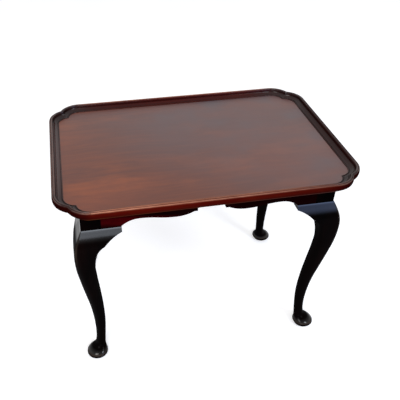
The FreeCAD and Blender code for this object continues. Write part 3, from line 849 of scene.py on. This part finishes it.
def leg_rub(x, y, z):
    """Rubbed a little on the knee's arris, and on the lower edge of the foot."""
    arris = nearness(x - y, ARRIS_REACH) if x + y < 0.0 else 0.0
    knee = nearness(LEDGE_Z - z - KNEE_MIDDLE_DROP, KNEE_MIDDLE_DROP)
    foot = nearness(z - FOOT_RUB_Z, FOOT_RUB_REACH)
    return max(KNEE_RUB * arris * knee, FOOT_RUB * foot)


def leg_polish(x, y, z):
    """None on the post; it stands best on the ledge, the top of the knee and the foot's edge."""
    if z > LEDGE_Z - TOUCHING and min(x, y) > -DULL_BY_POST:
        return 0.0
    if z > HALFWAY_Z:
        below = LEDGE_Z - z
        ledge = 1.0 - below / LEDGE_REACH
        knee = KNEE_SHEEN * min(1.0, 1.0 - (below - KNEE_SHEEN_DROP) / KNEE_SHEEN_DROP)
        return max(DULLED, ledge, knee)
    foot = FOOT_SHEEN * min(1.0, 1.0 - (z - FOOT_SHEEN_Z) / FOOT_SHEEN_REACH)
    return max(DULLED, foot + FOOT_EDGE_SHEEN * nearness(z - FOOT_EDGE_Z, FOOT_EDGE_REACH))


def end_sheen(lean):
    """How much better the polish stands on the table's ends than on its front and back."""
    return 1.0 + END_SHEEN * max(0.0, -lean)


def box_mesh(name, low, high):
    """Closed mesh of the box between two corners."""
    around = ((low[0], low[1]), (high[0], low[1]), (high[0], high[1]), (low[0], high[1]))
    return ring_mesh(name, [[(x, y, z) for x, y in around] for z in (low[2], high[2])])


def cut_away(mesh, cutter_meshes):
    """Mesh that is left when others are cut out of it."""
    piece = new_object(mesh.name, mesh)
    spent = [piece]
    for cutter_mesh in cutter_meshes:
        cut = piece.modifiers.new("cut", "BOOLEAN")
        cut.operation = "DIFFERENCE"
        cut.solver = "EXACT"
        cut.object = new_object(cutter_mesh.name, cutter_mesh)
        spent.append(cut.object)
    finished = plain_mesh(piece)
    for helper in spent:
        bpy.data.objects.remove(helper)
    return finished


leg_look = {"dark": (0.0006, 0.0005, 0.0006), "middle": (0.0016, 0.0008, 0.0008),
            "warm": (0.0045, 0.0014, 0.0012), "gloss": (0.08, 0.20), "specular": 0.0, "coat": 0.85,
            "pore_depth": 0.4, "worn_and_highlight": (0.40, 0.28, 0.21), "crest_lightening": 0.8}
frame_wood_z = wood_material("frame_wood_z", ALONG_Z, **leg_look)
low_x, low_y, low_z = POST - MORTISE_DEPTH, MORTISE_FACES[0], LEDGE_Z + MORTISE_FOOT
high_x, high_y, high_z = POST + MORTISE_MOUTH, MORTISE_FACES[1], BOARD_BOTTOM_Z - MORTISE_HEAD
blank = cut_away(ring_mesh("leg_blank", leg_rings()), [
    box_mesh("mortise_x", (low_x, low_y, low_z), (high_x, high_y, high_z)),
    box_mesh("mortise_y", (low_y, low_x, low_z), (high_y, high_x, high_z)),
])
for number, (corner, turn, side_x, side_y) in enumerate(CORNERS):
    leg = blank.copy()
    # The leg's own axis that lies along the table once the leg is turned.
    lengthwise = number % 2
    mark(leg, "rub", [leg_rub(*vertex.co) for vertex in leg.vertices])
    mark(leg, "polish", [leg_polish(*vertex.co) * end_sheen(vertex.normal[lengthwise])
                         for vertex in leg.vertices])
    mark(leg, "board", [LEG_GRAIN * number] * len(leg.vertices))
    leg.transform(turned_to(side_x * POST_X, side_y * POST_Y, turn))
    fit_piece("cabriole_leg_" + corner, leg, frame_wood_z, "frame_wood", "leg_" + corner)


# Knee blocks: two glued beside each post under the aprons. They carry the knee's swell
# outwards and fade into an ear, with a cove and a small cusp along the lower edge. Black
# and polished as the legs are.
# At each corner, the side of the table that the leg's X arm lies on once turned, then its Y arm.
ARMS = (("front", "left"), ("right", "front"), ("back", "right"), ("left", "back"))
EAR = (0.046, 0.0105)
EAR_COVE_SAG = 0.003
CUSP = (0.005, 0.038)
BLOCK_FOOT_DROP = 0.0419
BLOCK_BACK = 0.020
BLOCK_ROWS = 24
EAR_COVE_STEPS = 16
# Swaps X and Y, which turns a block for the X arm into one for the Y arm.
SWAPPED = Matrix(((0, 1, 0, 0), (1, 0, 0, 0), (0, 0, 1, 0), (0, 0, 0, 1)))


def knee_block_mesh():
    """Closed block on the X arm: a grid on its face, and the same grid on its flat back.
    Its lower edge runs from the ear by the cove and the cusp to the post, as reach and drop."""
    rows = leg_pattern()
    edge = cove_points(EAR, CUSP, EAR_COVE_SAG, EAR_COVE_STEPS) + [(0.0, BLOCK_FOOT_DROP)]
    shape = bmesh.new()
    front, back = [], []
    for reach, drop in edge:
        column, behind = [], []
        for number in range(BLOCK_ROWS + 1):
            z = LEDGE_Z - drop * number / BLOCK_ROWS
            outer = smooth_row(rows, z)[0]
            column.append(shape.verts.new((POST + reach, -outer, z)))
            behind.append(shape.verts.new((POST + reach, BLOCK_BACK, z)))
        front.append(column)
        back.append(behind)
    for grid in (front, back):
        for one, other in zip(grid, grid[1:]):
            for number in range(BLOCK_ROWS):
                shape.faces.new((one[number], one[number + 1], other[number + 1], other[number]))
    for number in range(BLOCK_ROWS):
        for place in (0, -1):
            shape.faces.new((front[place][number], front[place][number + 1],
                             back[place][number + 1], back[place][number]))
    for one in range(len(edge) - 1):
        for level in (0, -1):
            shape.faces.new((front[one][level], front[one + 1][level],
                             back[one + 1][level], back[one][level]))
    return shape_mesh("knee_block", shape)


knee_wood_x = wood_material("knee_wood_x", ALONG_X, **leg_look)
knee_wood_y = wood_material("knee_wood_y", ALONG_Y, **leg_look)
knee_mesh = knee_block_mesh()
for (x_arm, y_arm), (_, turn, side_x, side_y) in zip(ARMS, CORNERS):
    place = turned_to(side_x * POST_X, side_y * POST_Y, turn)
    for own, other in ((x_arm, y_arm), (y_arm, x_arm)):
        is_long = own in LONG_SIDES
        node = "knee_block_%s_%s" % (own, other)
        block = knee_mesh.copy()
        sheen = end_sheen(0.0 if is_long else -1.0)
        mark(block, "polish", [leg_polish(*vertex.co) * sheen for vertex in block.vertices])
        if own == y_arm:
            block.transform(place @ SWAPPED)
            block.flip_normals()
        else:
            block.transform(place)
        wood = knee_wood_x if is_long else knee_wood_y
        fit_piece("shaped_" + node, block, wood, "frame_wood", node)


# Corner blocks and buttons: plain inner pieces of pale, unpolished softwood, sawn and
# planed. The blocks are glued round the posts; the buttons are screwed up to the tray.
BLOCK_EASING = 0.0008
BUTTON_EASING = 0.0006
BUTTONS = [(side, "button_%s_%d" % (side, number)) for side in SIDES for number in (1, 2)]
inner_look = {"dark": (0.22, 0.12, 0.060), "middle": (0.36, 0.22, 0.11), "warm": (0.46, 0.30, 0.16),
              "gloss": (0.62, 0.85), "specular": 0.3, "coat": 0.0, "pore_depth": 0.3}
inner_wood_x = wood_material("inner_wood_x", ALONG_X, **inner_look)
inner_wood_y = wood_material("inner_wood_y", ALONG_Y, **inner_look)
for corner, *_ in CORNERS:
    dress_node("corner_block_" + corner, inner_wood_x, BLOCK_EASING)
for side, button in BUTTONS:
    dress_node(button, inner_wood_y if side in LONG_SIDES else inner_wood_x, BUTTON_EASING)


# Button screws: eight slotted countersunk steel screws, one up through each button into
# the board. Their heads are flush with the buttons' undersides and dulled with age.
INWARDS = {"front": (0, 1), "back": (0, -1), "left": (1, 0), "right": (-1, 0)}
SCREW_INSET = 0.004
HEAD_STAND = 0.0001
SCREW_STEPS = 24
SLOT_HALF = (0.0005, 0.006, 0.0012)
# The screw's profile from its head up, as height and radius.
SCREW_PROFILE = ((0.0, 0.0040), (0.0004, 0.0041), (0.0030, 0.0021), (0.0190, 0.0019),
                 (0.0240, 0.0004))


def screw_mesh():
    """Countersunk screw with a slotted head, its head's flat face down at the origin."""
    turns = [math.radians(360 / SCREW_STEPS * step) for step in range(SCREW_STEPS)]
    rings = [[(radius * math.cos(turn), radius * math.sin(turn), z) for turn in turns]
             for z, radius in SCREW_PROFILE]
    slot = box_mesh("screw_slot", [-half for half in SLOT_HALF], SLOT_HALF)
    return cut_away(ring_mesh("screw", rings), [slot])


def steel_material():
    """Old screw steel: grey, scuffed, with brown spots of rust."""
    material = bpy.data.materials.new("screw_steel")
    material.use_nodes = True
    tree = material.node_tree
    surface = tree.nodes["Principled BSDF"]
    place = add(tree, "ShaderNodeTexCoord").outputs["Object"]
    spots = stretched_noise(tree, place, scale=(900.0, 900.0, 900.0), detail=3.0, roughness=0.6,
                            low=0.50, high=0.66)
    scuffs = stretched_noise(tree, place, scale=(400.0, 2500.0, 400.0), detail=2.0, roughness=0.5,
                             low=0.35, high=0.70)
    grey = mix_colour(tree, scuffs, (0.20, 0.19, 0.18), (0.36, 0.35, 0.33))
    spotted = mix_colour(tree, spots, grey, (0.12, 0.045, 0.018))
    tree.links.new(spotted, surface.inputs["Base Color"])
    tree.links.new(reckon(tree, "SUBTRACT", 0.9, reckon(tree, "MULTIPLY", spots, 0.7)),
                   surface.inputs["Metallic"])
    rough = add(tree, "ShaderNodeMapRange", {"Value": scuffs}, {"To Min": 0.35, "To Max": 0.65})
    tree.links.new(rough.outputs[0], surface.inputs["Roughness"])
    return material


def screws_tree():
    """One screw at each point, turned about its own axis by chance."""
    tree, entry, end = new_group("Set screws", "GeometryNodeTree", (
        ("Places", "Geometry"), ("Screw", "Object"), ("Steel", "Material"), ("Seed", "Int"),
    ), (("Geometry", "Geometry"),))
    screw = add(tree, "GeometryNodeObjectInfo", {0: entry["Screw"]}).outputs["Geometry"]
    turned = add(tree, "FunctionNodeRandomValue", {"Seed": entry["Seed"]},
                 {"Max": (0.0, 0.0, math.pi)}, data_type="FLOAT_VECTOR").outputs[0]
    set_in = add(tree, "GeometryNodeInstanceOnPoints",
                 {"Points": entry["Places"], "Instance": screw, "Rotation": turned}).outputs[0]
    real = add(tree, "GeometryNodeRealizeInstances", {0: set_in}).outputs[0]
    made = add(tree, "GeometryNodeSetMaterial", {0: real, 2: entry["Steel"]}).outputs[0]
    tree.links.new(made, end["Geometry"])
    return tree


steel = steel_material()
screw_object = bpy.data.objects.new("screw_pattern", screw_mesh())
places = []
for side, button in BUTTONS:
    low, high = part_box(button)
    x, y = ((low[axis] + high[axis]) / 2 + SCREW_INSET * INWARDS[side][axis] for axis in (0, 1))
    places.append((x, y, low[2] - HEAD_STAND))
points_mesh = bpy.data.meshes.new("screw_places")
points_mesh.from_pydata(places, [], [])
all_screws = grown_mesh("screw_places", points_mesh, screws_tree(),
                        {"Screw": screw_object, "Steel": steel, "Seed": 5})
bpy.data.objects.remove(screw_object)
fit_piece("button_screws", all_screws, steel, "screw_steel")


# Floor, light and camera: a plain pale floor that keeps a soft shadow, a soft light high at
# the front left, two low ones in front, the right one blue as from a window, a small one that
# glints on the tray, and an even light all round.
FLOOR_HALF = 9
FLOOR_WHITE = 0.38


def seen_straight(tree):
    """1 where the camera sees the thing, by itself or in polish or through glass."""
    path = add(tree, "ShaderNodeLightPath").outputs
    return reckon(tree, "ADD", reckon(tree, "ADD", path["Is Camera Ray"], path["Is Glossy Ray"]),
                  path["Is Transmission Ray"])


floor_mesh = bpy.data.meshes.new("floor")
floor_corners = [(side_x * FLOOR_HALF, side_y * FLOOR_HALF, 0) for _, _, side_x, side_y in CORNERS]
floor_mesh.from_pydata(floor_corners, [], [(0, 1, 2, 3)])
floor = new_object("floor", floor_mesh)
floor_paint = bpy.data.materials.new("floor_paint")
floor_paint.use_nodes = True
tree = floor_paint.node_tree
surface = tree.nodes["Principled BSDF"]
place = add(tree, "ShaderNodeTexCoord").outputs["Object"]
mottle = stretched_noise(tree, place, scale=(3.0, 3.0, 3.0), detail=2.0, roughness=0.5,
                         low=0.3, high=0.7)
tree.links.new(mix_colour(tree, mottle, (0.93, 0.93, 0.93), (0.96, 0.96, 0.96)),
               surface.inputs["Base Color"])
surface.inputs["Roughness"].default_value = 0.9
surface.inputs["Specular IOR Level"].default_value = 0.0
white = add(tree, "ShaderNodeEmission", values={"Color": (1.0, 1.0, 1.0, 1.0)})
tree.links.new(reckon(tree, "MULTIPLY", seen_straight(tree), FLOOR_WHITE), white.inputs["Strength"])
paled = add(tree, "ShaderNodeAddShader", {0: surface.outputs[0], 1: white.outputs[0]})
tree.links.new(paled.outputs[0], tree.nodes["Material Output"].inputs["Surface"])
floor_mesh.materials.append(floor_paint)

world = bpy.data.worlds.new("studio")
bpy.context.scene.world = world
world.use_nodes = True
tree = world.node_tree
tree.nodes.clear()
colour = mix_colour(tree, seen_straight(tree), (0.60, 0.60, 0.61), (1.0, 1.0, 1.0))
background = add(tree, "ShaderNodeBackground", {"Color": colour})
add(tree, "ShaderNodeOutputWorld", {"Surface": background.outputs[0]})


def soft_light(name, place, target, width, height, watts, colour):
    """Rectangular soft light that looks at a target."""
    lamp = bpy.data.lights.new(name, "AREA")
    lamp.shape = "RECTANGLE"
    lamp.size = width
    lamp.size_y = height
    lamp.energy = watts
    lamp.color = colour
    light = new_object(name, lamp)
    light.location = place
    light.rotation_euler = (Vector(target) - Vector(place)).to_track_quat("-Z", "Y").to_euler()
    light.visible_camera = False


soft_light("front_left_soft", (-1.0, -1.7, 2.1), target=(0, 0, 0.45), width=1.0, height=0.7,
           watts=22.0, colour=(1.0, 0.97, 0.94))
soft_light("low_front_soft", (-0.5, -3.0, 1.20), target=(0, 0, 0.43), width=1.6, height=0.5,
           watts=21.0, colour=(0.80, 0.88, 1.0))
soft_light("low_right_soft", (1.75, -2.9, 1.15), target=(0, 0, 0.43), width=1.6, height=0.9,
           watts=22.0, colour=(0.34, 0.50, 1.0))
soft_light("window_glint", (1.4, -1.85, 1.95), target=(0, 0, 0.1), width=0.55, height=0.55,
           watts=19.0, colour=(0.85, 0.92, 1.0))

camera = new_object("camera", bpy.data.cameras.new("camera"))
camera.location = (-0.2809, -1.1024, 1.22575)
camera.rotation_euler = (math.radians(52.042), 0.0, math.radians(-10.496))
camera.data.sensor_width = 36.0
camera.data.lens = 47.757
camera.data.shift_x = 0.0898
camera.data.shift_y = 0.0028
bpy.context.scene.camera = camera

bpy.context.scene.view_settings.view_transform = "Standard"
